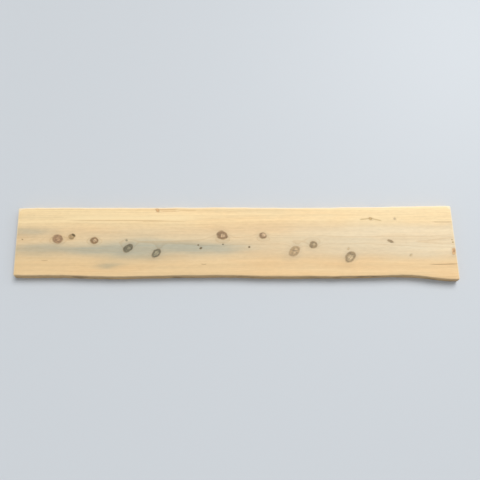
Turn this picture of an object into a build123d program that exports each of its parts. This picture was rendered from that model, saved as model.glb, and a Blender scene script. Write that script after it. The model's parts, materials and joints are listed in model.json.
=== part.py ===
from build123d import *

import os
from math import cos, hypot, radians, sin

# A live-edge softwood plank: one slab sawn through a log, cross-cut at both ends, its edges eased.
# X runs along the grain from the top end of the log to the butt end, Y runs across the sawn faces
# and Z runs up through the thickness. The origin is in the middle of the underside.
# Lengths are in millimetres and angles in degrees.

# The plank
length = 2400.0  # along the near live edge, between the two cross-cuts
thickness = 45.0  # between the two saw cuts
face_width = 384.0  # mean width of the upper sawn face, between its two live edges

# The log that it is sawn from: how far the pith lies under the upper saw cut, at each end of the log
pith_depth_top = 66.0
pith_depth_butt = 50.0
trim_allowance = 30.0  # log beyond each cross-cut

# How far each live edge swells past half the face width, at even steps from the top end to the butt
far_swell = (-11, -2, -2, -2, -2, 0, 0, -2, -2, 0, 3, 7, 9)
near_swell = (-9, -4, 0, 3, -1, -4, -3, 2, 1, 1, -4, 3, 11)

# The cross-cuts, which lean a little off square, and the sanded edges
top_cut_skew = 0.8
butt_cut_skew = 2.0
worn_corner_radius = 9.0  # the far corner at the butt end
arris_radius = 4.0

half_width = face_width / 2
last_step = len(far_swell) - 1
log_length = length + 2 * trim_allowance


def log_section(step):
    """The plane across the log at one step, with its origin on the pith, and the log's radius there."""
    share = step / last_step
    far_edge = half_width + far_swell[step]
    near_edge = half_width + near_swell[step]
    pith_depth = pith_depth_top + (pith_depth_butt - pith_depth_top) * share
    pith = ((share - 0.5) * log_length, (far_edge - near_edge) / 2, thickness - pith_depth)
    radius = hypot((far_edge + near_edge) / 2, pith_depth)
    # The seam of the circle is at the bottom of the log, which the lower saw cut takes away
    return Plane(origin=pith, x_dir=(0, 0, -1), z_dir=(1, 0, 0)), radius


def cross_cut(side, skew, near_swell_at_end):
    """The plane of a cross-cut, facing out of the plank, which turns about the near live edge."""
    corner = (side * length / 2, -half_width - near_swell_at_end, 0)
    angle = radians(skew)
    return Plane(origin=corner, z_dir=(side * cos(angle), side * sin(angle), 0))


with BuildPart() as plank:
    # The log, round under its bark, with its swellings and its taper
    for step in range(last_step + 1):
        section_plane, log_radius = log_section(step)
        with BuildSketch(section_plane):
            Circle(log_radius)
    loft()

    # The two saw cuts leave the slab between them, and the cross-cuts take it to its length
    split(bisect_by=Plane.XY.offset(thickness), keep=Keep.BOTTOM)
    split(bisect_by=Plane.XY, keep=Keep.TOP)
    split(bisect_by=cross_cut(-1, top_cut_skew, near_swell[0]), keep=Keep.BOTTOM)
    split(bisect_by=cross_cut(1, butt_cut_skew, near_swell[last_step]), keep=Keep.BOTTOM)

    # The far corner at the butt end is worn round
    butt_cut = plank.faces().filter_by(GeomType.PLANE).sort_by(Axis.X)[-1]
    fillet(butt_cut.edges().sort_by(Axis.Y)[-1], worn_corner_radius)

    # Every other edge is sanded to one arris: round both sawn faces and down the three sharp corners
    flat_faces = plank.faces().filter_by(GeomType.PLANE)
    underside = flat_faces.sort_by(Axis.Z)[0]
    show_face = flat_faces.sort_by(Axis.Z)[-1]
    top_corners = flat_faces.sort_by(Axis.X)[0].edges().sort_by(Axis.Y)
    butt_corners = flat_faces.sort_by(Axis.X)[-1].edges().sort_by(Axis.Y)
    sharp_corners = [top_corners[0], top_corners[-1], butt_corners[0]]
    fillet(underside.edges() + show_face.edges() + sharp_corners, arris_radius)

# The middle of the underside comes to the origin
middle = plank.part.bounding_box().center()
plank.part.position = (-middle.X, -middle.Y, 0)
plank.part.label = "plank"

os.makedirs("parts", exist_ok=True)
export_step(plank.part, "parts/plank.step")
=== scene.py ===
"""Looks of a live-edge softwood plank that lies flat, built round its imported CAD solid.

Everything is in metres, in the frame of the CAD part: X runs along the grain from the top end of the
log to the butt end, Y runs across the sawn faces and Z runs up out of the show face.
"""

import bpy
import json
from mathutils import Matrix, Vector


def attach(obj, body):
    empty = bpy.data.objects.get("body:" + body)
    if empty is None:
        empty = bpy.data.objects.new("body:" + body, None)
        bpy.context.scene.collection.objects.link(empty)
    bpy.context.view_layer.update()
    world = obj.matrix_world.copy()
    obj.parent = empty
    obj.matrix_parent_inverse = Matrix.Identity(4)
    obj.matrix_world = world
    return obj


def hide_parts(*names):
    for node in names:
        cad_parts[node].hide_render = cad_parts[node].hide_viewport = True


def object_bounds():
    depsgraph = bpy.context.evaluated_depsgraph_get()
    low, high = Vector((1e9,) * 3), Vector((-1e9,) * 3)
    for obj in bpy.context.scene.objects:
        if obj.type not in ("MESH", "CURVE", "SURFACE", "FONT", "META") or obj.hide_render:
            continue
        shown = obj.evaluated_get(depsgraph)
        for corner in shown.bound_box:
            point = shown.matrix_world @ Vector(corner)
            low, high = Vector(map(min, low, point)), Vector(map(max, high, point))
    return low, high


bl_info = {
    "name": "Live-edge plank",
    "version": (1, 0, 0),
    "blender": (4, 5, 0),
    "location": "3D View > Sidebar > Plank",
    "description": "Saws, finishes and lights a live-edge softwood plank",
    "category": "Object",
}

import json
from math import cos, pi, radians, sin
from typing import NamedTuple

import bmesh
import bpy
from bpy.props import FloatProperty, FloatVectorProperty, IntProperty, PointerProperty
from mathutils import Vector, noise
from mathutils.bvhtree import BVHTree

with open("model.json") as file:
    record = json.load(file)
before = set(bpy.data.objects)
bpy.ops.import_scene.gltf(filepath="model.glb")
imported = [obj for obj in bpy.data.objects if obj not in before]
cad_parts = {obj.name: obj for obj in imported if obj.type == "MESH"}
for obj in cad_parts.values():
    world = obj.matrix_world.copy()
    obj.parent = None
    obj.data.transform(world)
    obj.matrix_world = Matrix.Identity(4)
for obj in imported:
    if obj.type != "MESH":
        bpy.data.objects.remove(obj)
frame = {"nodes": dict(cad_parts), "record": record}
CAD_LOW, CAD_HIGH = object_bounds()
SOLID = frame["nodes"]["plank"]
MOUNTS = {mount["name"]: mount for mount in frame["record"]["mounts"]}
THICKNESS = CAD_HIGH.z

GRID_MARGIN = 0.022  # plain strip inside the outline, which leaves room to round it
PLANED, LIVE, SAWN = range(3)  # material slots: the two faces, the live edges, the cross-cut ends


class Knot(NamedTuple):
    """A branch stub that the show face cuts through."""

    along: float
    across: float
    radius: float
    tone: str
    heart: float = 0.3  # size of the paler middle, as a share of the radius, and less than 0 for none
    lean: float = 0.5  # slope of the branch towards the top of the log
    swing: float = None  # slope of the branch across the plank, away from the pith unless given
    shift: tuple = (0.0, 0.0)  # how far the paler middle lies off centre, as shares of the radius


class Streak(NamedTuple):
    """A coloured line or band in the show face, along the grain."""

    along: float
    across: float
    half_length: float
    half_width: float
    tone: str
    strength: float
    slope: float = 0.0
    bow: float = 0.0


class Check(NamedTuple):
    """A split that has opened along the grain, in the show face."""

    start: tuple
    end: tuple
    half_width: float
    depth: float
    runs_out: bool  # open at the end of the plank


class Stain(NamedTuple):
    """A patch of blue stain in the sapwood."""

    along: float
    across: float
    half_length: float
    half_width: float
    strength: float


KNOTS = (
    Knot(-0.971, 0.016, 0.0250, "red", heart=0.20, lean=0.6, shift=(0.05, 0.0)),
    Knot(-0.899, 0.029, 0.0150, "tan", heart=0.10, shift=(0.2, 0.3)),
    Knot(-0.888, 0.038, 0.0066, "dark", heart=-0.3, lean=0.9, swing=0.9),
    Knot(-0.772, 0.007, 0.0195, "brown", heart=0.29, shift=(0.08, 0.04)),
    Knot(-0.584, -0.033, 0.0200, "stained", heart=0.12, lean=0.8, swing=-0.7, shift=(0.1, -0.1)),
    Knot(-0.428, -0.059, 0.0190, "stained", heart=0.36, lean=0.8, swing=-0.8, shift=(-0.05, -0.12)),
    Knot(-0.072, 0.036, 0.0240, "brown", heart=0.22, lean=0.75, shift=(0.06, 0.0)),
    Knot(0.149, 0.035, 0.0175, "brown", heart=0.38, lean=0.7, shift=(0.24, 0.24)),
    Knot(0.322, -0.048, 0.0235, "tan", heart=0.30, lean=0.7, swing=-0.7, shift=(0.12, -0.05)),
    Knot(0.423, -0.016, 0.0200, "umber", heart=0.16, shift=(0.12, 0.12)),
    Knot(0.624, -0.079, 0.0235, "umber", heart=0.34, lean=0.7, swing=-0.8, shift=(-0.15, -0.25)),
    Knot(0.847, 0.003, 0.0064, "umber", heart=0.0, lean=2.6, swing=1.0, shift=(-0.5, 0.2)),
    Knot(0.742, 0.132, 0.0080, "amber", heart=-0.2, lean=0.8, swing=0.2),
    Knot(-0.434, 0.181, 0.0085, "resin", heart=-0.3, lean=0.9),
    Knot(1.184, -0.050, 0.0105, "resin", heart=0.25, lean=0.2, swing=-1.4),
    Knot(-0.597, 0.010, 0.0058, "stained", heart=1.5),
    Knot(-0.205, -0.018, 0.0042, "dark", heart=-0.3),
    Knot(-0.190, -0.035, 0.0064, "dark", heart=-0.3),
    Knot(-0.070, -0.015, 0.0042, "stained", heart=-0.3),
    Knot(0.072, -0.028, 0.0054, "dark", heart=-0.3),
    Knot(0.611, -0.038, 0.0066, "faint", heart=-0.3),
    Knot(0.875, 0.131, 0.0066, "faint", heart=-0.3),
    Knot(0.951, -0.073, 0.0062, "faint", heart=-0.3),
    Knot(-1.167, 0.015, 0.0036, "tan", heart=-0.3),
    Knot(1.181, 0.013, 0.0035, "amber", heart=-0.3),
    Knot(1.183, -0.002, 0.0040, "amber", heart=-0.3),
)

STAINS = (
    Stain(-1.130, 0.0525, 0.110, 0.024, 0.65),
    Stain(-1.120, -0.0425, 0.170, 0.032, 0.75),
    Stain(-0.900, -0.0425, 0.140, 0.030, 0.60),
    Stain(-0.730, -0.0395, 0.150, 0.034, 0.80),
    Stain(-0.520, -0.0385, 0.170, 0.058, 0.95),
    Stain(-0.290, -0.0265, 0.140, 0.038, 0.85),
    Stain(-0.080, -0.0345, 0.170, 0.034, 0.70),
    Stain(-0.690, -0.1305, 0.065, 0.024, 0.75),
    Stain(0.640, -0.0315, 0.560, 0.085, 0.27),
)

STREAKS = (
    Streak(-0.570, 0.1340, 0.450, 0.0150, "pale", 0.60),
    Streak(-0.645, 0.1205, 0.310, 0.0025, "latewood", 0.55),
    Streak(-0.400, 0.1145, 0.150, 0.0020, "latewood", 0.40),
    Streak(-0.350, 0.1830, 0.950, 0.0055, "latewood", 0.18),
    Streak(0.020, 0.1740, 0.330, 0.0080, "latewood", 0.14),
    Streak(-0.380, 0.1835, 0.065, 0.0032, "resin", 0.65),
    Streak(-0.370, 0.1735, 0.055, 0.0028, "resin", 0.50),
    Streak(-0.270, 0.1785, 0.060, 0.0030, "resin", 0.40),
    Streak(0.711, 0.1295, 0.034, 0.0034, "amber", 0.75, slope=0.10),
    Streak(0.772, 0.1265, 0.034, 0.0034, "amber", 0.75, slope=-0.22),
    Streak(-1.035, -0.1035, 0.022, 0.0026, "brown", 0.32, slope=0.04),
    Streak(-0.173, -0.1245, 0.017, 0.0022, "brown", 0.50, bow=12.0),
    Streak(1.120, -0.1235, 0.080, 0.0016, "brown", 0.80, slope=0.02),
    Streak(1.135, 0.1125, 0.062, 0.0014, "brown", 0.55),
)

CHECKS = (
    Check((1.045, -0.1246), (1.200, -0.1215), 0.0009, 0.0034, True),
    Check((1.075, 0.1125), (1.200, 0.1125), 0.0007, 0.0030, True),
    Check((-1.057, -0.1039), (-1.013, -0.1022), 0.0007, 0.0008, False),
)

# Colours of a knot from its heart to its rim, and the ink of a streak, which is the rim's
KNOT_TONES = {
    "red": ((0.50, 0.305, 0.165), (0.33, 0.195, 0.100)),
    "brown": ((0.62, 0.420, 0.235), (0.24, 0.136, 0.054)),
    "umber": ((0.60, 0.440, 0.240), (0.26, 0.172, 0.072)),
    "tan": ((0.52, 0.360, 0.185), (0.38, 0.250, 0.115)),
    "stained": ((0.36, 0.310, 0.190), (0.14, 0.118, 0.066)),
    "dark": ((0.15, 0.095, 0.030), (0.12, 0.076, 0.022)),
    "amber": ((0.46, 0.300, 0.110), (0.46, 0.300, 0.110)),
    "faint": ((0.58, 0.425, 0.230), (0.58, 0.425, 0.230)),
    "resin": ((0.40, 0.205, 0.080), (0.60, 0.350, 0.150)),
    "latewood": ((0.50, 0.300, 0.120), (0.50, 0.300, 0.120)),
    "pale": ((0.985, 0.775, 0.440), (0.985, 0.775, 0.440)),
}


class PlankShape(bpy.types.PropertyGroup):
    """How the plank is sawn, eased and weathered."""

    columns: IntProperty(
        name="Columns",
        description="Mesh steps along the grain, a multiple of 20",
        default=400,
        min=50,
        max=500,
    )
    rows: IntProperty(name="Rows", description="Mesh steps across a face", default=40, min=8, max=80)
    layers: IntProperty(
        name="Layers", description="Mesh steps through the thickness", default=6, min=3, max=10
    )
    arris: FloatProperty(
        name="Arris",
        description="Radius of the sanded edges",
        default=0.004,
        min=0.001,
        max=0.005,
        unit="LENGTH",
    )
    worn_corner: FloatProperty(
        name="Worn corner",
        description="Radius of the far corner at the butt end",
        default=0.009,
        min=0.0,
        max=0.012,
        unit="LENGTH",
    )
    flutes: FloatProperty(
        name="Flutes",
        description="Depth of the long hollows in the live edges",
        default=0.0020,
        unit="LENGTH",
    )
    lumps: FloatProperty(
        name="Lumps",
        description="Depth of the short hollows in the live edges",
        default=0.0009,
        unit="LENGTH",
    )


class PlankWood(bpy.types.PropertyGroup):
    """Colours and growth of the wood; the two sapwood colours also hold painted light and shade."""

    # Far and near sapwood: partly the wood's own tone, partly a painted gradient of light, lighter at the far
    # edge towards the lamp and shaded at the near edge.
    far_sapwood_and_light: FloatVectorProperty(
        name="Far sapwood and light",
        description="Wood near the far live edge",
        subtype="COLOR",
        default=(0.945, 0.728, 0.408),
    )
    near_sapwood_and_shade: FloatVectorProperty(
        name="Near sapwood and shade",
        description="Wood near the near live edge",
        subtype="COLOR",
        default=(0.828, 0.592, 0.312),
    )
    top_heartwood: FloatVectorProperty(
        name="Top heartwood",
        description="Wood near the pith at the top end",
        subtype="COLOR",
        default=(0.785, 0.596, 0.350),
    )
    butt_heartwood: FloatVectorProperty(
        name="Butt heartwood",
        description="Wood near the pith at the butt end",
        subtype="COLOR",
        default=(0.808, 0.660, 0.430),
    )
    latewood: FloatVectorProperty(
        name="Latewood",
        description="Dark half of each growth ring",
        subtype="COLOR",
        default=(0.62, 0.385, 0.165),
    )
    blue_stain: FloatVectorProperty(
        name="Blue stain", description="Tint of stained sapwood", subtype="COLOR", default=(0.58, 0.72, 0.90)
    )
    cambium: FloatVectorProperty(
        name="Cambium",
        description="Skin left on the live edges",
        subtype="COLOR",
        default=(0.20, 0.125, 0.065),
    )
    # Pale sanded wood on the arrises and ends, and also a painted highlight on the far arrises, which face
    # the lamp.
    rubbed_and_highlit_arris: FloatVectorProperty(
        name="Rubbed and highlit arris",
        description="Wood that sanding has left pale",
        subtype="COLOR",
        default=(0.95, 0.80, 0.57),
    )
    ring_width: FloatProperty(
        name="Ring width", description="One year's growth", default=0.0034, unit="LENGTH"
    )
    pith_depth: FloatProperty(
        name="Pith depth",
        description="From the show face to the middle of the log",
        default=0.058,
        unit="LENGTH",
    )
    branch_depth: FloatProperty(
        name="Branch depth",
        description="From the show face to where the knots spring",
        default=0.16,
        unit="LENGTH",
    )


class PlankStage(bpy.types.PropertyGroup):
    """The floor, the light and the camera."""

    floor: FloatVectorProperty(
        name="Floor", description="Colour of the floor", subtype="COLOR", default=(0.62, 0.65, 0.68)
    )
    fill: FloatProperty(name="Fill", description="Light from all round", default=0.44, min=0.0)
    key: FloatProperty(name="Key", description="Strength of the large, far lamp", default=2.15, min=0.0)
    softness: FloatProperty(
        name="Softness",
        description="Width of the far lamp, as seen from the plank",
        default=radians(35),
        unit="ROTATION",
    )
    side: FloatProperty(name="Side", description="Power of the side lamp", default=9.0, min=0.0, unit="POWER")
    lens: FloatProperty(name="Lens", description="Focal length", default=39.0, unit="CAMERA")
    tilt: FloatProperty(
        name="Tilt", description="Camera's lean from straight down", default=radians(13.1), unit="ROTATION"
    )
    distance: FloatProperty(
        name="Distance", description="From the camera to the show face", default=2.8384, unit="LENGTH"
    )


# Modelling


def edit_mesh(piece):
    """Puts a piece into edit mode with nothing selected."""
    bpy.context.view_layer.objects.active = piece
    bpy.ops.object.mode_set(mode="EDIT")
    bpy.ops.mesh.reveal()
    bpy.ops.mesh.select_all(action="DESELECT")


def rule_edges(piece, axis, cuts):
    """Divides every edge of a block that runs along one axis."""
    most = 0.9  # share of an edge's length that runs along the axis
    edit_mesh(piece)
    bpy.ops.mesh.select_mode(type="EDGE")
    mesh = bmesh.from_edit_mesh(piece.data)
    for edge in mesh.edges:
        run = edge.verts[1].co - edge.verts[0].co
        edge.select_set(abs(run[axis]) > most * run.length)
    bmesh.update_edit_mesh(piece.data)
    bpy.ops.mesh.subdivide(number_cuts=cuts)
    bpy.ops.object.mode_set(mode="OBJECT")


def ruled_block(shape):
    """A block of the size of the CAD box, ruled into a grid on all six sides."""
    bpy.ops.object.select_all(action="DESELECT")
    bpy.ops.mesh.primitive_cube_add(size=1, location=(CAD_LOW + CAD_HIGH) / 2, scale=CAD_HIGH - CAD_LOW)
    block = bpy.context.object
    bpy.ops.object.transform_apply(location=True, rotation=True, scale=True)
    bays = 20  # the many columns are ruled in two goes: first bays, then the columns of each bay
    rule_edges(block, 0, bays - 1)
    rule_edges(block, 0, shape.columns // bays - 1)
    rule_edges(block, 1, shape.rows - 1)
    rule_edges(block, 2, shape.layers - 1)
    return block


def end_plane(name):
    """A point on a cross-cut and the way it faces."""
    mount = MOUNTS[name]
    return Vector(mount["pos_m"]), Vector(mount["axis"]).normalized()


def end_place(plane, across):
    """Where a cross-cut lies along the plank, at one place across it."""
    point, facing = plane
    return point.x - (across - point.y) * facing.y / facing.x


def smooth_step(share):
    """Rises gently from 0 to 1."""
    share = max(0.0, min(1.0, share))
    return share * share * (3 - 2 * share)


def wander(along, side, height, stretch):
    """Smooth noise on a live edge, with the number of its hollows to a metre along and up the edge."""
    hollows_along, seed, hollows_up = stretch
    return noise.noise(Vector((along * hollows_along, side * seed, height * hollows_up)))


class LiveEdges:
    """The two live edges of the CAD solid, measured once for each column of the grid."""

    def __init__(self, shape):
        self.shape = shape
        mesh = SOLID.data
        corners = [vertex.co for vertex in mesh.vertices]
        self.solid = BVHTree.FromPolygons(corners, [face.vertices[:] for face in mesh.polygons])
        self.heights = [THICKNESS * share for share in (0.25, 0.5, 0.75)]
        self.measured = {}

    def column(self, along, side):
        """Distances from the middle line at the three heights."""
        inside_ends = 0.985
        along = max(CAD_LOW.x * inside_ends, min(CAD_HIGH.x * inside_ends, along))
        key = (round(along, 6), side)
        if key not in self.measured:
            self.measured[key] = [self.probe(along, side, height) for height in self.heights]
        return self.measured[key]

    def probe(self, along, side, height):
        """Looks for the CAD solid from outside, square to its length."""
        start = Vector((along, side * 2 * CAD_HIGH.y, height))
        place = self.solid.ray_cast(start, Vector((0, -side, 0)))[0]
        if place is None:
            raise RuntimeError(f"the CAD plank has no live edge at {along:.3f}")
        return place.y

    def place(self, along, side, height):
        """A live edge at any height: a parabola through the three measures, less its hollows."""
        low, middle, high = self.column(along, side)
        step = self.heights[1] - self.heights[0]
        share = (height - self.heights[1]) / step
        smooth = middle + share * (high - low) / 2 + share * share * (high + low - 2 * middle) / 2
        return smooth - side * self.hollow(along, side, height)

    def hollow(self, along, side, height):
        """How far the surface under the bark lies below its smooth line, which it keeps to at the ends."""
        plain_end = 0.12  # length over which the hollows fade out towards a cross-cut
        sink = 0.2  # puts more of the surface below its smooth line than above it
        from_end = min(along - CAD_LOW.x, CAD_HIGH.x - along)
        flute = sink + wander(along, side, height, (7, 3, 24))
        lump = sink + wander(along, side, height, (26, 7, 45))
        return smooth_step(from_end / plain_end) * (self.shape.flutes * flute + self.shape.lumps * lump)


def grid_share(share, steps, margin):
    """Moves the lines of an even grid so that its first and last steps are as wide as the margin."""
    line = round(share * steps)
    if line in (0, steps):
        return share
    return margin + (1 - 2 * margin) * (line - 1) / (steps - 2)


def saw_to_shape(block, shape):
    """Moves the grid of the block onto the plank, between its live edges and its skewed cross-cuts."""
    edges = LiveEdges(shape)
    top_end, butt_end = end_plane("top_end"), end_plane("butt_end")
    size = CAD_HIGH - CAD_LOW
    for vertex in block.data.vertices:
        share_along = grid_share((vertex.co.x - CAD_LOW.x) / size.x, shape.columns, GRID_MARGIN / size.x)
        share_across = grid_share((vertex.co.y - CAD_LOW.y) / size.y, shape.rows, GRID_MARGIN / size.y)
        along, height = CAD_LOW.x + share_along * size.x, vertex.co.z
        near = edges.place(along, -1, height)
        far = edges.place(along, 1, height)
        across = near + (far - near) * share_across
        first, last = end_place(top_end, across), end_place(butt_end, across)
        vertex.co = (first + (last - first) * share_along, across, height)


def wear_corner(block, shape):
    """Rounds the upright far corner at the butt end."""
    towards_butt = 0.2  # weight of a place along the plank, against its place across it
    beside_corner = 0.6 * GRID_MARGIN
    edit_mesh(block)
    bpy.ops.mesh.select_mode(type="EDGE")
    mesh = bmesh.from_edit_mesh(block.data)
    corner = max(mesh.verts, key=lambda vertex: vertex.co.x * towards_butt + vertex.co.y).co
    for edge in mesh.edges:
        edge.select_set(all((vertex.co - corner).xy.length < beside_corner for vertex in edge.verts))
    bmesh.update_edit_mesh(block.data)
    bpy.ops.mesh.bevel(offset=shape.worn_corner, segments=6, profile=0.5, affect="EDGES", clamp_overlap=False)
    bpy.ops.object.mode_set(mode="OBJECT")


def ease_edges(block, shape):
    """Sands every sharp edge to an arris, and marks the vertices on it."""
    edit_mesh(block)
    bpy.ops.mesh.select_mode(type="EDGE")
    bpy.ops.mesh.edges_select_sharp(sharpness=radians(50))
    bpy.ops.mesh.bevel(offset=shape.arris, segments=4, profile=0.5, affect="EDGES")
    mesh = bmesh.from_edit_mesh(block.data)
    arris = mesh.verts.layers.float.new("arris")
    for vertex in mesh.verts:
        vertex[arris] = float(vertex.select)
    bmesh.update_edit_mesh(block.data)
    bpy.ops.object.mode_set(mode="OBJECT")


def share_out_slots(plank):
    """Gives each face of the mesh to a planed face, with its arrises, a live edge or a cross-cut end."""
    facing = 0.7  # least part of a normal along Z on a planed face, or along X on an end
    facing_on_arris = 0.25  # the same along Z on the part of an arris that is sanded with a planed face
    arris = plank.data.attributes["arris"].data
    for face in plank.data.polygons:
        on_arris = all(arris[corner].value > 0 for corner in face.vertices)
        if abs(face.normal.z) > (facing_on_arris if on_arris else facing):
            face.material_index = PLANED
        elif abs(face.normal.x) > facing:
            face.material_index = SAWN
        else:
            face.material_index = LIVE


def open_check(plank, check):
    """Splits the show face along the grain: three cuts, and the middle one is pressed in."""
    start, end = Vector((*check.start, THICKNESS)), Vector((*check.end, THICKNESS))
    run = (end - start).normalized()
    sideways = Vector((-run.y, run.x, 0))
    reach = 0.012  # how far round the check the mesh is cut
    on_cut = 1e-6

    def beside(place):
        offset = place - start
        return (
            -reach < offset.dot(run) < (end - start).length + reach
            and abs(offset.dot(sideways)) < reach
            and place.z > THICKNESS / 2
        )

    edit_mesh(plank)
    bpy.ops.mesh.select_mode(type="FACE")
    for offset in (-check.half_width, check.half_width, 0):
        mesh = bmesh.from_edit_mesh(plank.data)
        for face in mesh.faces:
            face.select_set(beside(face.calc_center_median()))
        bmesh.update_edit_mesh(plank.data)
        bpy.ops.mesh.bisect(plane_co=start + sideways * offset, plane_no=sideways)
    mesh = bmesh.from_edit_mesh(plank.data)
    mesh.normal_update()
    for vertex in mesh.verts:
        offset = vertex.co - start
        share = offset.dot(run) / (end - start).length
        if abs(offset.dot(sideways)) < on_cut and beside(vertex.co) and share > 0:
            depth = check.depth * (min(share, 1) if check.runs_out else sin(pi * min(share, 1)))
            vertex.co -= vertex.normal * depth
    bmesh.update_edit_mesh(plank.data)
    bpy.ops.object.mode_set(mode="OBJECT")


def lay_out_map(plank):
    """A map on which the show face has the most room: one strip for each side of the plank."""
    strips = {
        "show": (0.0, 0.52),
        "under": (0.53, 0.22),
        "near": (0.76, 0.08),
        "far": (0.85, 0.08),
        "ends": (0.94, 0.06),
    }
    end_room = 0.49  # length of one end in the strip that the two ends share
    size = CAD_HIGH - CAD_LOW
    mesh = plank.data
    layer = mesh.uv_layers.new(name="OFBake")
    for face in mesh.polygons:
        for corner in face.loop_indices:
            share = mesh.vertices[mesh.loops[corner].vertex_index].co - CAD_LOW
            share = Vector((share.x / size.x, share.y / size.y, share.z / size.z))
            if face.material_index == PLANED:
                start, room = strips["show" if face.center.z > THICKNESS / 2 else "under"]
                place = (share.x, start + room * share.y)
            elif face.material_index == LIVE:
                start, room = strips["far" if face.center.y > 0 else "near"]
                place = (share.x, start + room * share.z)
            else:
                start, room = strips["ends"]
                first = 1 - end_room if face.center.x > 0 else 0.0
                place = (first + end_room * share.y, start + room * share.z)
            layer.uv[corner].vector = place


# Materials

# Tints that multiply the colour of the wood
BLOTCHED = (1.0, 0.94, 0.88)
# Painted shade in the split of a knot
KNOT_SPLIT_SHADE = (0.45, 0.42, 0.40)
WEATHERED = (0.80, 0.755, 0.70)
END_GRAIN = (0.78, 0.70, 0.60)

END_SPLIT_SHADE = (0.14, 0.08, 0.035)  # painted shade: the dark colour inside a split of the end grain


class Wiring:
    """Adds nodes to one tree. Its methods take numbers, colours, vectors or sockets and return sockets."""

    def __init__(self, tree):
        self.tree = tree

    def node(self, kind, **settings):
        made = self.tree.nodes.new(kind)
        for name, value in settings.items():
            setattr(made, name, value)
        return made

    def feed(self, socket, value):
        if isinstance(value, bpy.types.NodeSocket):
            self.tree.links.new(value, socket)
        elif socket.type == "RGBA" and len(value) == 3:
            socket.default_value = (*value, 1.0)
        else:
            socket.default_value = value

    def math(self, operation, *values):
        made = self.node("ShaderNodeMath", operation=operation)
        for socket, value in zip(made.inputs, values):
            self.feed(socket, value)
        return made.outputs[0]

    def vector(self, operation, *values):
        made = self.node("ShaderNodeVectorMath", operation=operation)
        for socket, value in zip(made.inputs, values):
            self.feed(socket, value)
        return made.outputs["Value" if operation in ("DOT_PRODUCT", "LENGTH") else "Vector"]

    def scaled(self, vector, factor):
        made = self.node("ShaderNodeVectorMath", operation="SCALE")
        self.feed(made.inputs["Vector"], vector)
        self.feed(made.inputs["Scale"], factor)
        return made.outputs["Vector"]

    def parts(self, vector):
        made = self.node("ShaderNodeSeparateXYZ")
        self.feed(made.inputs[0], vector)
        return made.outputs

    def joined(self, x, y, z):
        made = self.node("ShaderNodeCombineXYZ")
        for socket, value in zip(made.inputs, (x, y, z)):
            self.feed(socket, value)
        return made.outputs[0]

    def noise(self, vector, stretch=(1, 1, 1), detail=2.0, colour=False):
        stretched = self.vector("MULTIPLY", vector, stretch)
        made = self.node("ShaderNodeTexNoise")
        self.feed(made.inputs["Vector"], stretched)
        self.feed(made.inputs["Scale"], 1.0)
        self.feed(made.inputs["Detail"], detail)
        return made.outputs[1 if colour else 0]

    def line_noise(self, value, scale, detail=1.0):
        made = self.node("ShaderNodeTexNoise", noise_dimensions="1D")
        self.feed(made.inputs["W"], value)
        self.feed(made.inputs["Scale"], scale)
        self.feed(made.inputs["Detail"], detail)
        return made.outputs[0]

    def fade(self, value, start, end, low=0.0, high=1.0, smooth=True):
        """Goes from low to high while the value goes from start to end."""
        easing = "SMOOTHSTEP" if smooth else "LINEAR"
        made = self.node("ShaderNodeMapRange", interpolation_type=easing, clamp=False)
        names = ("Value", "From Min", "From Max", "To Min", "To Max")
        for name, number in zip(names, (value, start, end, low, high)):
            self.feed(made.inputs[name], number)
        return made.outputs["Result"]

    def spread(self, value, low, high):
        """Stretches a value between 0 and 1 over a range."""
        return self.fade(value, 0.0, 1.0, low, high, smooth=False)

    def contrast(self, pattern, low, high):
        """Stretches the middle half of a noise, where nearly all of it lies, over a range."""
        return self.fade(pattern, 0.25, 0.75, low, high, smooth=False)

    def mix(self, factor, first, second, blend="MIX"):
        made = self.node("ShaderNodeMix", data_type="RGBA", blend_type=blend)
        for socket, value in zip((made.inputs[0], made.inputs[6], made.inputs[7]), (factor, first, second)):
            self.feed(socket, value)
        return made.outputs[2]

    def shaded(self, colour, value):
        """A colour made darker or lighter by a factor."""
        made = self.node("ShaderNodeHueSaturation")
        self.feed(made.inputs["Color"], colour)
        self.feed(made.inputs["Value"], value)
        return made.outputs[0]

    def hump(self, value, width):
        """A bell that is 1 where the value is 0."""
        share = self.math("DIVIDE", value, width)
        return self.math("EXPONENT", self.math("MULTIPLY", self.math("MULTIPLY", share, share), -1.0))

    def group(self, tree, **inputs):
        made = self.node("ShaderNodeGroup", node_tree=tree)
        for name, value in inputs.items():
            self.feed(made.inputs[name.replace("_", " ").title()], value)
        return made.outputs


SOCKETS = {"number": "NodeSocketFloat", "vector": "NodeSocketVector", "colour": "NodeSocketColor"}
KNOT_OUTPUTS = {"Tone": "colour", "Cover": "number", "Halo": "number", "Bend": "number"}


def new_group(name, inputs, outputs):
    """An empty shader group, and the sockets that its inside starts from."""
    tree = bpy.data.node_groups.new(name, "ShaderNodeTree")
    for direction, sockets in (("INPUT", inputs), ("OUTPUT", outputs)):
        for label, kind in sockets.items():
            tree.interface.new_socket(label, in_out=direction, socket_type=SOCKETS[kind])
    wires = Wiring(tree)
    return tree, wires, wires.node("NodeGroupInput").outputs


def close_group(wires, **outputs):
    """Joins the finished sockets to a group's outputs."""
    end = wires.node("NodeGroupOutput")
    for name, socket in outputs.items():
        wires.feed(end.inputs[name.replace("_", " ").title()], socket)


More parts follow.
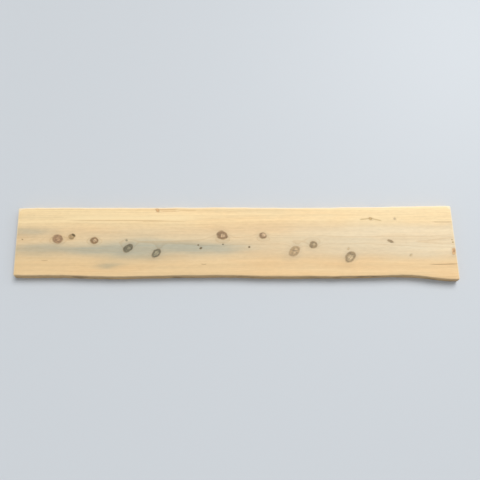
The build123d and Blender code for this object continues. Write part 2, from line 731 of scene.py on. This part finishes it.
def knot_group():
    """One knot: a cone of darker wood round a branch's axis, which also bends the rings round it."""
    inputs = {
        "Vector": "vector",
        "Place": "vector",
        "Heading": "vector",
        "Radius": "number",
        "Taper": "number",
        "Heart": "number",
        "Shift": "vector",
        "Split": "vector",
        "Split Strength": "number",
        "Heart Colour": "colour",
        "Rim Colour": "colour",
        **KNOT_OUTPUTS,
    }
    least_girth = 0.25  # the thinnest that a branch gets, as a share of its size at the show face
    heart_edge = 0.36  # width of the change from heart to rim, as a share of the radius
    ring_rate = 24.0  # turns of the knot's own rings, in radians for each radius
    ring_depth = 0.14
    split_width = 0.05
    bend_reach = 1.7  # how far from a knot the rings bend round it, in radii
    bend_depth = 0.7  # how far it pushes them aside, in radii
    tree, wires, given = new_group("Knot", inputs, KNOT_OUTPUTS)
    offset = wires.vector("SUBTRACT", given["Vector"], given["Place"])
    up_branch = wires.vector("DOT_PRODUCT", offset, given["Heading"])
    aside = wires.vector("SUBTRACT", offset, wires.scaled(given["Heading"], up_branch))
    girth = wires.math("MULTIPLY_ADD", up_branch, given["Taper"], 1.0)
    girth = wires.math("MULTIPLY", wires.math("MAXIMUM", girth, least_girth), given["Radius"])
    local = wires.scaled(aside, wires.math("DIVIDE", 1.0, girth))
    share = wires.vector("LENGTH", local)

    from_heart = wires.vector("LENGTH", wires.vector("SUBTRACT", local, given["Shift"]))
    in_rim = wires.fade(from_heart, given["Heart"], wires.math("ADD", given["Heart"], heart_edge))
    rings = wires.math("SINE", wires.math("MULTIPLY", from_heart, ring_rate))
    in_rim = wires.math("MULTIPLY_ADD", rings, -ring_depth, in_rim)
    tone = wires.mix(in_rim, given["Heart Colour"], given["Rim Colour"])
    # A dark line along the knot's split: painted shade in the crack, which has no relief of its own.
    split = wires.hump(wires.vector("DOT_PRODUCT", local, given["Split"]), split_width)
    split = wires.math("MULTIPLY", split, wires.fade(share, 0.85, 0.35))
    split = wires.math("MULTIPLY", split, given["Split Strength"])
    tone = wires.mix(split, tone, wires.mix(1.0, given["Rim Colour"], KNOT_SPLIT_SHADE, "MULTIPLY"))

    inside = wires.fade(share, 1.18, 0.84)
    halo = wires.fade(share, 2.2, 1.1)
    pushed = wires.hump(share, bend_reach)
    bulge = wires.math("MULTIPLY", pushed, wires.math("MULTIPLY", given["Radius"], bend_depth))
    close_group(
        wires,
        tone=wires.mix(inside, given["Tone"], tone),
        cover=wires.math("MAXIMUM", given["Cover"], inside),
        halo=wires.math("MAXIMUM", given["Halo"], halo),
        bend=wires.math("ADD", given["Bend"], bulge),
    )
    return tree


def knot_field_group(wood):
    """All the knots of the plank."""
    waver = 0.010  # how far the outlines of the knots stray from round
    split_turn = 2.4  # radians from one knot's split to the next one's
    least_split = 0.012  # radius under which a knot doesn't split
    tree, wires, given = new_group("Knots", {"Vector": "vector"}, KNOT_OUTPUTS)
    knot = knot_group()
    wobble = wires.noise(given["Vector"], (34, 46, 46), detail=3.0, colour=True)
    wobble = wires.scaled(wires.vector("SUBTRACT", wobble, (0.5, 0.5, 0.5)), waver)
    place = wires.vector("ADD", given["Vector"], wobble)
    so_far = {"Tone": (0.4, 0.25, 0.12), "Cover": 0.0, "Halo": 0.0, "Bend": 0.0}
    for number, stub in enumerate(KNOTS):
        swing = stub.across / wood.branch_depth if stub.swing is None else stub.swing
        heart_colour, rim_colour = KNOT_TONES[stub.tone]
        split_angle = number * split_turn
        so_far = wires.group(
            knot,
            vector=place,
            place=(stub.along, stub.across, THICKNESS),
            heading=Vector((-stub.lean, swing, 1)).normalized(),
            radius=stub.radius,
            taper=1 / wood.branch_depth,
            heart=stub.heart,
            shift=(*stub.shift, 0.0),
            split=(sin(split_angle), cos(split_angle), 0.0),
            split_strength=0.7 if stub.radius > least_split else 0.0,
            heart_colour=heart_colour,
            rim_colour=rim_colour,
            **{name.lower(): so_far[name] for name in KNOT_OUTPUTS},
        )
    mottle = wires.noise(given["Vector"], (75, 90, 90), detail=4.0)
    tone = wires.shaded(so_far["Tone"], wires.fade(mottle, 0.3, 0.7, 0.68, 1.32, smooth=False))
    close_group(wires, tone=tone, cover=so_far["Cover"], halo=so_far["Halo"], bend=so_far["Bend"])
    return tree


def ring_group(wood):
    """Growth rings as the distance from a pith that wanders along the log."""
    climb = 0.0065  # slope of the pith towards the show face, from the top end to the butt
    other_place = 7.3  # takes the dip from another stretch of the same noise
    years_astray = 5.0  # rings by which runs of lean and fat years put the count out
    outputs = {"Distance": "number", "Latewood": "number", "Band": "number"}
    tree, wires, given = new_group("Growth rings", {"Vector": "vector", "Bend": "number"}, outputs)
    x, y, z = wires.parts(given["Vector"])
    sway = wires.spread(wires.line_noise(x, 1.1), -0.018, 0.028)
    dip = wires.spread(wires.line_noise(wires.math("ADD", x, other_place), 0.9), -0.010, 0.010)
    rise = wires.math("MULTIPLY_ADD", x, climb, THICKNESS - wood.pith_depth)
    from_pith = wires.joined(
        0.0, wires.math("SUBTRACT", y, sway), wires.math("SUBTRACT", z, wires.math("ADD", rise, dip))
    )
    wave = wires.spread(wires.noise(given["Vector"], (1.6, 9, 9)), -0.006, 0.006)
    ripple = wires.spread(wires.noise(given["Vector"], (9, 70, 70)), -0.0008, 0.0008)
    distance = wires.math("ADD", wires.vector("LENGTH", from_pith), wires.math("ADD", wave, ripple))
    distance = wires.math("SUBTRACT", distance, given["Bend"])
    lean_years = wires.line_noise(distance, 34.0, 2.0)
    even_years = wires.math("DIVIDE", distance, wood.ring_width)
    count = wires.math("MULTIPLY_ADD", lean_years, years_astray, even_years)
    whole_years = wires.math("FLOOR", count)
    year = wires.node("ShaderNodeTexWhiteNoise", noise_dimensions="1D")
    wires.feed(year.inputs["W"], whole_years)
    season = wires.math("FRACT", count)
    late = wires.math("MULTIPLY", wires.fade(season, 0.40, 0.92), wires.fade(season, 1.0, 0.95))
    late = wires.math("MULTIPLY", late, wires.fade(year.outputs["Value"], 0.0, 1.0, 0.25, 1.0))
    close_group(wires, distance=distance, latewood=late, band=wires.line_noise(distance, 23.0, 1.0))
    return tree


def fibre_group():
    """Streaks of the fibres along the grain, from broad to fine, and the resin ducts among them."""
    outputs = {"Broad": "number", "Streak": "number", "Fine": "number", "Figure": "number", "Ducts": "number"}
    tree, wires, given = new_group("Fibres", {"Vector": "vector"}, outputs)
    stretched = wires.vector("MULTIPLY", given["Vector"], (16, 240, 240))
    ducts = wires.node("ShaderNodeTexVoronoi")
    wires.feed(ducts.inputs["Vector"], stretched)
    wires.feed(ducts.inputs["Scale"], 1.0)
    chosen = wires.fade(wires.parts(ducts.outputs["Color"])[0], 0.62, 0.66)
    close_group(
        wires,
        broad=wires.noise(given["Vector"], (0.7, 23, 23), detail=1.5),
        streak=wires.noise(given["Vector"], (2.4, 190, 190), detail=3.0),
        fine=wires.noise(given["Vector"], (16, 1500, 1500), detail=1.0),
        figure=wires.noise(given["Vector"], (34, 95, 95), detail=3.0),
        ducts=wires.math("MULTIPLY", wires.fade(ducts.outputs["Distance"], 0.17, 0.06), chosen),
    )
    return tree


def stain_group():
    """Blue stain: soft patches drawn out along the grain."""
    inputs = {"Vector": "vector", "Streak": "number"}
    tree, wires, given = new_group("Blue stain", inputs, {"Stain": "number"})
    wobble = wires.noise(given["Vector"], (4, 22, 22), detail=3.0, colour=True)
    wobble = wires.vector("MULTIPLY", wires.vector("SUBTRACT", wobble, (0.5, 0.5, 0.5)), (0.16, 0.05, 0.0))
    place = wires.vector("ADD", given["Vector"], wobble)
    total = 0.0
    for patch in STAINS:
        offset = wires.vector("SUBTRACT", place, (patch.along, patch.across, 0))
        offset = wires.vector("MULTIPLY", offset, (1 / patch.half_length, 1 / patch.half_width, 0))
        cover = wires.hump(wires.vector("LENGTH", offset), 1.0)
        total = wires.math("MULTIPLY_ADD", cover, patch.strength, total)
    uneven = wires.contrast(given["Streak"], 0.72, 1.1)
    close_group(wires, stain=wires.math("MULTIPLY", wires.math("MINIMUM", total, 1.0), uneven))
    return tree


def streak_group():
    """One line or band in the show face, which may slope or bow."""
    inputs = {
        "Vector": "vector",
        "Place": "vector",
        "Half Length": "number",
        "Half Width": "number",
        "Slope": "number",
        "Bow": "number",
        "Strength": "number",
        "Ink": "colour",
        "Tone": "colour",
    }
    tree, wires, given = new_group("Streak", inputs, {"Tone": "colour"})
    x, y, z = wires.parts(wires.vector("SUBTRACT", given["Vector"], given["Place"]))
    slant = wires.math("MULTIPLY_ADD", x, given["Bow"], given["Slope"])
    aside = wires.math("SUBTRACT", y, wires.math("MULTIPLY", x, slant))
    line = wires.hump(aside, given["Half Width"])
    ends = wires.fade(wires.math("DIVIDE", wires.math("ABSOLUTE", x), given["Half Length"]), 1.0, 0.55)
    near_face = wires.fade(z, -0.010, -0.004)
    line = wires.math("MULTIPLY", line, ends)
    amount = wires.math("MULTIPLY", line, wires.math("MULTIPLY", near_face, given["Strength"]))
    close_group(wires, tone=wires.mix(amount, given["Tone"], given["Ink"]))
    return tree


def pine_group(wood):
    """The wood itself, the same all through the plank: its colour, its relief and its knots."""
    outputs = {
        "Colour": "colour",
        "Relief": "number",
        "Knots": "number",
        "Latewood": "number",
        "Fine": "number",
    }
    tree, wires, given = new_group("Pine", {"Vector": "vector"}, outputs)
    here = given["Vector"]
    knots = wires.group(knot_field_group(wood), vector=here)
    rings = wires.group(ring_group(wood), vector=here, bend=knots["Bend"])
    fibres = wires.group(fibre_group(), vector=here)
    stain = wires.group(stain_group(), vector=here, streak=fibres["Streak"])["Stain"]

    x, y = wires.parts(here)[:2]
    # Painted light and shade mixed with the wood's own tone: lighter towards the far edge, darker towards the
    # near edge.
    sapwood = wires.mix(wires.fade(y, -0.15, 0.15), wood.near_sapwood_and_shade, wood.far_sapwood_and_light)
    heartwood = wires.mix(wires.fade(x, 0.0, 1.0), wood.top_heartwood, wood.butt_heartwood)
    colour = wires.mix(wires.fade(rings["Distance"], 0.075, 0.138), heartwood, sapwood)
    blotch = wires.fade(wires.noise(here, (2.0, 11, 11), detail=3.0), 0.40, 0.72)
    plain = wires.mix(blotch, colour, wires.mix(1.0, colour, BLOTCHED, "MULTIPLY"))
    late_share = wires.fade(rings["Distance"], 0.06, 0.12, 0.34, 0.56)
    colour = wires.mix(wires.math("MULTIPLY", rings["Latewood"], late_share), plain, wood.latewood)
    for pattern, darkest, palest in (
        (rings["Band"], 0.92, 1.05),
        (fibres["Broad"], 0.955, 1.045),
        (fibres["Streak"], 0.94, 1.05),
        (fibres["Fine"], 0.95, 1.04),
        (fibres["Figure"], 0.955, 1.05),
    ):
        colour = wires.shaded(colour, wires.contrast(pattern, darkest, palest))
    near_softness = wires.fade(y, -0.02, -0.12, 0.0, 0.25)
    colour = wires.mix(near_softness, colour, plain)
    colour = wires.mix(wires.math("MULTIPLY", fibres["Ducts"], 0.5), colour, wood.latewood)
    colour = wires.shaded(colour, wires.math("MULTIPLY_ADD", knots["Halo"], -0.08, 1.0))
    stained = wires.mix(1.0, colour, wood.blue_stain, "MULTIPLY")
    colour = wires.mix(stain, colour, stained)
    streak = streak_group()
    for line in STREAKS:
        colour = wires.group(
            streak,
            vector=here,
            place=(line.along, line.across, THICKNESS),
            half_length=line.half_length,
            half_width=line.half_width,
            slope=line.slope,
            bow=line.bow,
            strength=line.strength,
            ink=KNOT_TONES[line.tone][1],
            tone=colour,
        )["Tone"]
    colour = wires.mix(wires.math("MULTIPLY", knots["Cover"], 0.94), colour, knots["Tone"])

    relief = wires.math("MULTIPLY_ADD", rings["Latewood"], 0.5, wires.math("MULTIPLY", fibres["Fine"], 0.35))
    relief = wires.math("MULTIPLY_ADD", knots["Cover"], 0.8, relief)
    close_group(
        wires,
        colour=colour,
        relief=relief,
        knots=knots["Cover"],
        latewood=rings["Latewood"],
        fine=fibres["Fine"],
    )
    return tree


def new_material(name):
    """A material with one Principled shader, and the wires of its tree."""
    material = bpy.data.materials.new(name)
    material.use_nodes = True
    wires = Wiring(material.node_tree)
    return material, wires, material.node_tree.nodes["Principled BSDF"]


def object_place(wires):
    return wires.node("ShaderNodeTexCoord").outputs["Object"]


def add_relief(wires, shader, height, millimetres):
    """Bump, of a stated real depth, into a shader's normal."""
    bump = wires.node("ShaderNodeBump")
    wires.feed(bump.inputs["Strength"], 1.0)
    wires.feed(bump.inputs["Distance"], millimetres / 1000)
    wires.feed(bump.inputs["Height"], height)
    wires.feed(shader.inputs["Normal"], bump.outputs["Normal"])


def eased(wires):
    """A mask that is 1 on the arrises and fades out beside them."""
    return wires.fade(wires.node("ShaderNodeAttribute", attribute_name="arris").outputs["Fac"], 0.84, 1.0)


def near_end(wires, place, name, reach):
    """A mask that is 1 at a cross-cut and fades inwards over the given reach."""
    full = 0.3  # share of the reach, next to the cross-cut, where the mask is 1
    point, facing = end_plane(name)
    short_of = wires.math("SUBTRACT", wires.vector("DOT_PRODUCT", place, facing), point.dot(facing))
    return wires.fade(short_of, -reach, -full * reach)


def planed_material(wood, pine):
    """The two planed and sanded faces."""
    rubbed_reach = 0.006  # how far the sanding of the ends reaches into the face
    chatter_pitch = 0.006  # from one mark of the planer to the next
    material, wires, shader = new_material("planed_pine")
    place = object_place(wires)
    wood_here = wires.group(pine, vector=place)
    top_rub = near_end(wires, place, "top_end", rubbed_reach)
    butt_rub = near_end(wires, place, "butt_end", rubbed_reach)
    ends = wires.math("MAXIMUM", top_rub, butt_rub)
    # Painted highlight: the pale arris mask grows stronger towards the far edge, which faces the lamp; the
    # rest is sanded pale wood on the arrises and ends.
    far_highlight = wires.fade(wires.parts(place)[1], -0.15, 0.15, 0.15, 1.0)
    rubbed_and_highlit = wires.math("MAXIMUM", ends, wires.math("MULTIPLY", eased(wires), far_highlight))
    colour = wires.mix(wires.math("MULTIPLY", rubbed_and_highlit, 0.6), wood_here["Colour"], wood.rubbed_and_highlit_arris)
    wires.feed(shader.inputs["Base Color"], colour)
    gloss = wires.math("MULTIPLY_ADD", wood_here["Knots"], -0.08, 0.56)
    wires.feed(shader.inputs["Roughness"], wires.math("MULTIPLY_ADD", wood_here["Latewood"], -0.06, gloss))
    chatter = wires.math("SINE", wires.math("MULTIPLY", wires.parts(place)[0], 2 * pi / chatter_pitch))
    height = wires.math("MULTIPLY_ADD", chatter, 0.06, wood_here["Relief"])
    add_relief(wires, shader, height, 0.12)
    return material


def live_material(wood, pine):
    """The live edges: wood under a thin, patchy skin of cambium, clean again at the sanded arrises."""
    material, wires, shader = new_material("live_edge_pine")
    place = object_place(wires)
    wood_here = wires.group(pine, vector=place)
    height = wires.parts(place)[2]
    patches = wires.noise(place, (7, 34, 34), detail=4.0)
    fringe = wires.spread(wires.noise(place, (30, 120, 120), detail=2.0), -0.004, 0.004)
    from_middle = wires.math("ABSOLUTE", wires.math("SUBTRACT", height, THICKNESS / 2))
    from_face = wires.math("SUBTRACT", THICKNESS / 2, from_middle)
    skin = wires.fade(wires.math("ADD", from_face, fringe), 0.003, 0.009)
    # The near sapwood colour brings its painted shade onto the live edges.
    outer_ring = wires.mix(0.6, wood_here["Colour"], wood.near_sapwood_and_shade)
    grey = wires.mix(1.0, outer_ring, WEATHERED, "MULTIPLY")
    flecks = wires.math("MULTIPLY", wires.fade(patches, 0.52, 0.68), 0.7)
    fluting = wires.noise(place, (9, 220, 220), detail=3.0)
    aged_and_groove_shade = wires.mix(flecks, grey, wood.cambium)
    # Darker in the low parts of the flutes: fibre streaks, and painted shade in the grooves whose relief the
    # same noise gives below.
    aged_and_groove_shade = wires.shaded(aged_and_groove_shade, wires.fade(fluting, 0.3, 0.7, 0.76, 1.12, smooth=False))
    wires.feed(shader.inputs["Base Color"], wires.mix(skin, wood_here["Colour"], aged_and_groove_shade))
    wires.feed(shader.inputs["Roughness"], wires.math("MULTIPLY_ADD", skin, 0.16, 0.56))
    dents = wires.noise(place, (40, 90, 90), detail=3.0)
    rough = wires.math("MULTIPLY", skin, wires.math("ADD", fluting, dents))
    add_relief(wires, shader, wires.math("ADD", rough, wood_here["Relief"]), 0.9)
    return material


def sawn_material(wood, pine):
    """The cross-cut ends: darker end grain, with the arcs of the saw and fine splits from the pith."""
    blade_drop = 0.11  # from the underside down to the middle of the saw's arcs
    kerf_pitch = 0.0022  # from one arc of the saw to the next
    material, wires, shader = new_material("sawn_end_pine")
    place = object_place(wires)
    wood_here = wires.group(pine, vector=place)
    y, z = wires.parts(place)[1:3]
    colour = wires.mix(1.0, wood_here["Colour"], END_GRAIN, "MULTIPLY")
    colour = wires.mix(wires.math("MULTIPLY", wood_here["Latewood"], 0.45), colour, wood.latewood)
    round_pith = wires.math("ARCTAN2", wires.math("SUBTRACT", z, THICKNESS - wood.pith_depth), y)
    splits = wires.fade(wires.line_noise(round_pith, 26.0, 3.0), 0.70, 0.76)
    splits = wires.math("MULTIPLY", splits, wires.fade(wires.noise(place, (1, 40, 40)), 0.45, 0.6))
    # Painted shade inside the splits, which the bump below also presses in.
    colour = wires.mix(wires.math("MULTIPLY", splits, 0.7), colour, END_SPLIT_SHADE)
    wires.feed(shader.inputs["Base Color"], colour)
    wires.feed(shader.inputs["Roughness"], wires.math("MULTIPLY_ADD", wood_here["Fine"], 0.2, 0.62))
    blade = wires.vector("LENGTH", wires.joined(0.0, y, wires.math("ADD", z, blade_drop)))
    kerf = wires.math("SINE", wires.math("MULTIPLY", blade, 2 * pi / kerf_pitch))
    height = wires.math("MULTIPLY_ADD", kerf, 0.25, wood_here["Relief"])
    add_relief(wires, shader, wires.math("MULTIPLY_ADD", splits, -1.5, height), 0.25)
    return material


def plain_material(name, colour, roughness):
    """An even finish for the stage."""
    material, wires, shader = new_material(name)
    wires.feed(shader.inputs["Base Color"], colour)
    wires.feed(shader.inputs["Roughness"], roughness)
    return material


# Stage

FLOOR_RADIUS = 40.0
KEY_PLACE = Vector((1.5, 3.2, 4.4))  # a far lamp, so only its direction counts
SIDE_LAMP_PLACE = Vector((1.7, 1.5, 1.8))
SIDE_LAMP_TARGET = Vector((0.8, 0.1, THICKNESS))
SIDE_LAMP_SIZE = 1.2
VIEW_CENTRE = Vector((0.0223, 0.01075, THICKNESS))  # place on the show face that the camera looks at
SKY = (0.95, 0.975, 1.0)
BACKDROP_STRENGTH = 0.66


def aim(thing, target):
    """Turns a lamp or a camera towards a place, with its top kept up."""
    thing.rotation_euler = (target - thing.location).to_track_quat("-Z", "Y").to_euler()


def add_key(strength, softness):
    """One broad, far lamp, high beyond the far edge of the plank and a little towards its butt end."""
    bpy.ops.object.light_add(type="SUN", location=KEY_PLACE)
    key = bpy.context.object
    key.name = "key"
    key.data.energy = strength
    key.data.angle = softness
    aim(key, Vector((0, 0, 0)))


def add_side_lamp(watts):
    """A broad panel beyond the far corner at the butt end, which lights that end a little more."""
    bpy.ops.object.light_add(type="AREA", location=SIDE_LAMP_PLACE)
    panel = bpy.context.object
    panel.name = "side_lamp"
    panel.data.shape = "SQUARE"
    panel.data.size = SIDE_LAMP_SIZE
    panel.data.energy = watts
    aim(panel, SIDE_LAMP_TARGET)


def set_world(fill):
    """Even light from all round, behind which the camera sees a pale backdrop."""
    world = bpy.data.worlds.new("studio")
    world.use_nodes = True
    bpy.context.scene.world = world
    wires = Wiring(world.node_tree)
    path = wires.node("ShaderNodeLightPath").outputs
    seen = wires.math("MAXIMUM", path["Is Camera Ray"], path["Is Glossy Ray"])
    seen = wires.math("MAXIMUM", seen, path["Is Transmission Ray"])
    background = world.node_tree.nodes["Background"]
    wires.feed(background.inputs["Color"], SKY)
    wires.feed(background.inputs["Strength"], wires.spread(seen, fill, BACKDROP_STRENGTH))


def add_camera(settings):
    """Looks down on the show face from the near side, a little off square."""
    bpy.ops.object.camera_add()
    camera = bpy.context.object
    camera.name = "camera"
    camera.data.sensor_width = 36
    camera.data.lens = settings.lens
    looking = Vector((0, sin(settings.tilt), -cos(settings.tilt)))
    camera.location = VIEW_CENTRE - looking * settings.distance
    aim(camera, VIEW_CENTRE)
    bpy.context.scene.camera = camera


# Operators


class OBJECT_OT_live_edge_plank(bpy.types.Operator):
    """Saw the plank to the shape of its CAD solid, ease and split it, and finish its wood"""

    bl_idname = "object.live_edge_plank"
    bl_label = "Live-edge plank"

    def execute(self, context):
        shape, wood = context.scene.plank_shape, context.scene.plank_wood
        plank = ruled_block(shape)
        plank.name = plank.data.name = "live_edge_plank"
        saw_to_shape(plank, shape)
        wear_corner(plank, shape)
        ease_edges(plank, shape)
        pine = pine_group(wood)
        for finish in (planed_material, live_material, sawn_material):
            plank.data.materials.append(finish(wood, pine))
        share_out_slots(plank)
        for check in CHECKS:
            open_check(plank, check)
        bpy.ops.object.shade_smooth_by_angle(angle=radians(35))
        lay_out_map(plank)
        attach(plank, "root")
        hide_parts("plank")
        return {"FINISHED"}


class SCENE_OT_plank_stage(bpy.types.Operator):
    """Lay a pale floor, light it softly and look down on the show face"""

    bl_idname = "scene.plank_stage"
    bl_label = "Plank stage"

    def execute(self, context):
        settings = context.scene.plank_stage
        bpy.ops.mesh.primitive_circle_add(
            vertices=96, radius=FLOOR_RADIUS, fill_type="NGON", location=(0, 0, CAD_LOW.z)
        )
        floor = context.object
        floor.name = "floor"
        floor.data.materials.append(plain_material("pale_floor", settings.floor, 0.85))

        add_key(settings.key, settings.softness)
        add_side_lamp(settings.side)
        set_world(settings.fill)
        add_camera(settings)
        context.scene.view_settings.view_transform = "Standard"
        return {"FINISHED"}


class VIEW3D_PT_plank(bpy.types.Panel):
    """The plank's sizes, colours and tools"""

    bl_label = "Live-edge plank"
    bl_idname = "VIEW3D_PT_plank"
    bl_space_type = "VIEW_3D"
    bl_region_type = "UI"
    bl_category = "Plank"

    def draw(self, context):
        for settings, operator in (
            (("plank_shape", "plank_wood"), OBJECT_OT_live_edge_plank),
            (("plank_stage",), SCENE_OT_plank_stage),
        ):
            box = self.layout.box()
            for name in settings:
                group = getattr(context.scene, name)
                for field in group.bl_rna.properties:
                    if field.identifier not in ("rna_type", "name"):
                        box.prop(group, field.identifier)
            box.operator(operator.bl_idname)


CLASSES = (
    PlankShape,
    PlankWood,
    PlankStage,
    OBJECT_OT_live_edge_plank,
    SCENE_OT_plank_stage,
    VIEW3D_PT_plank,
)


def register():
    for item in CLASSES:
        bpy.utils.register_class(item)
    bpy.types.Scene.plank_shape = PointerProperty(type=PlankShape)
    bpy.types.Scene.plank_wood = PointerProperty(type=PlankWood)
    bpy.types.Scene.plank_stage = PointerProperty(type=PlankStage)


def unregister():
    del bpy.types.Scene.plank_stage
    del bpy.types.Scene.plank_wood
    del bpy.types.Scene.plank_shape
    for item in reversed(CLASSES):
        bpy.utils.unregister_class(item)


def main():
    register()
    bpy.ops.object.live_edge_plank()
    bpy.ops.scene.plank_stage()


if __name__ == "__main__":
    main()
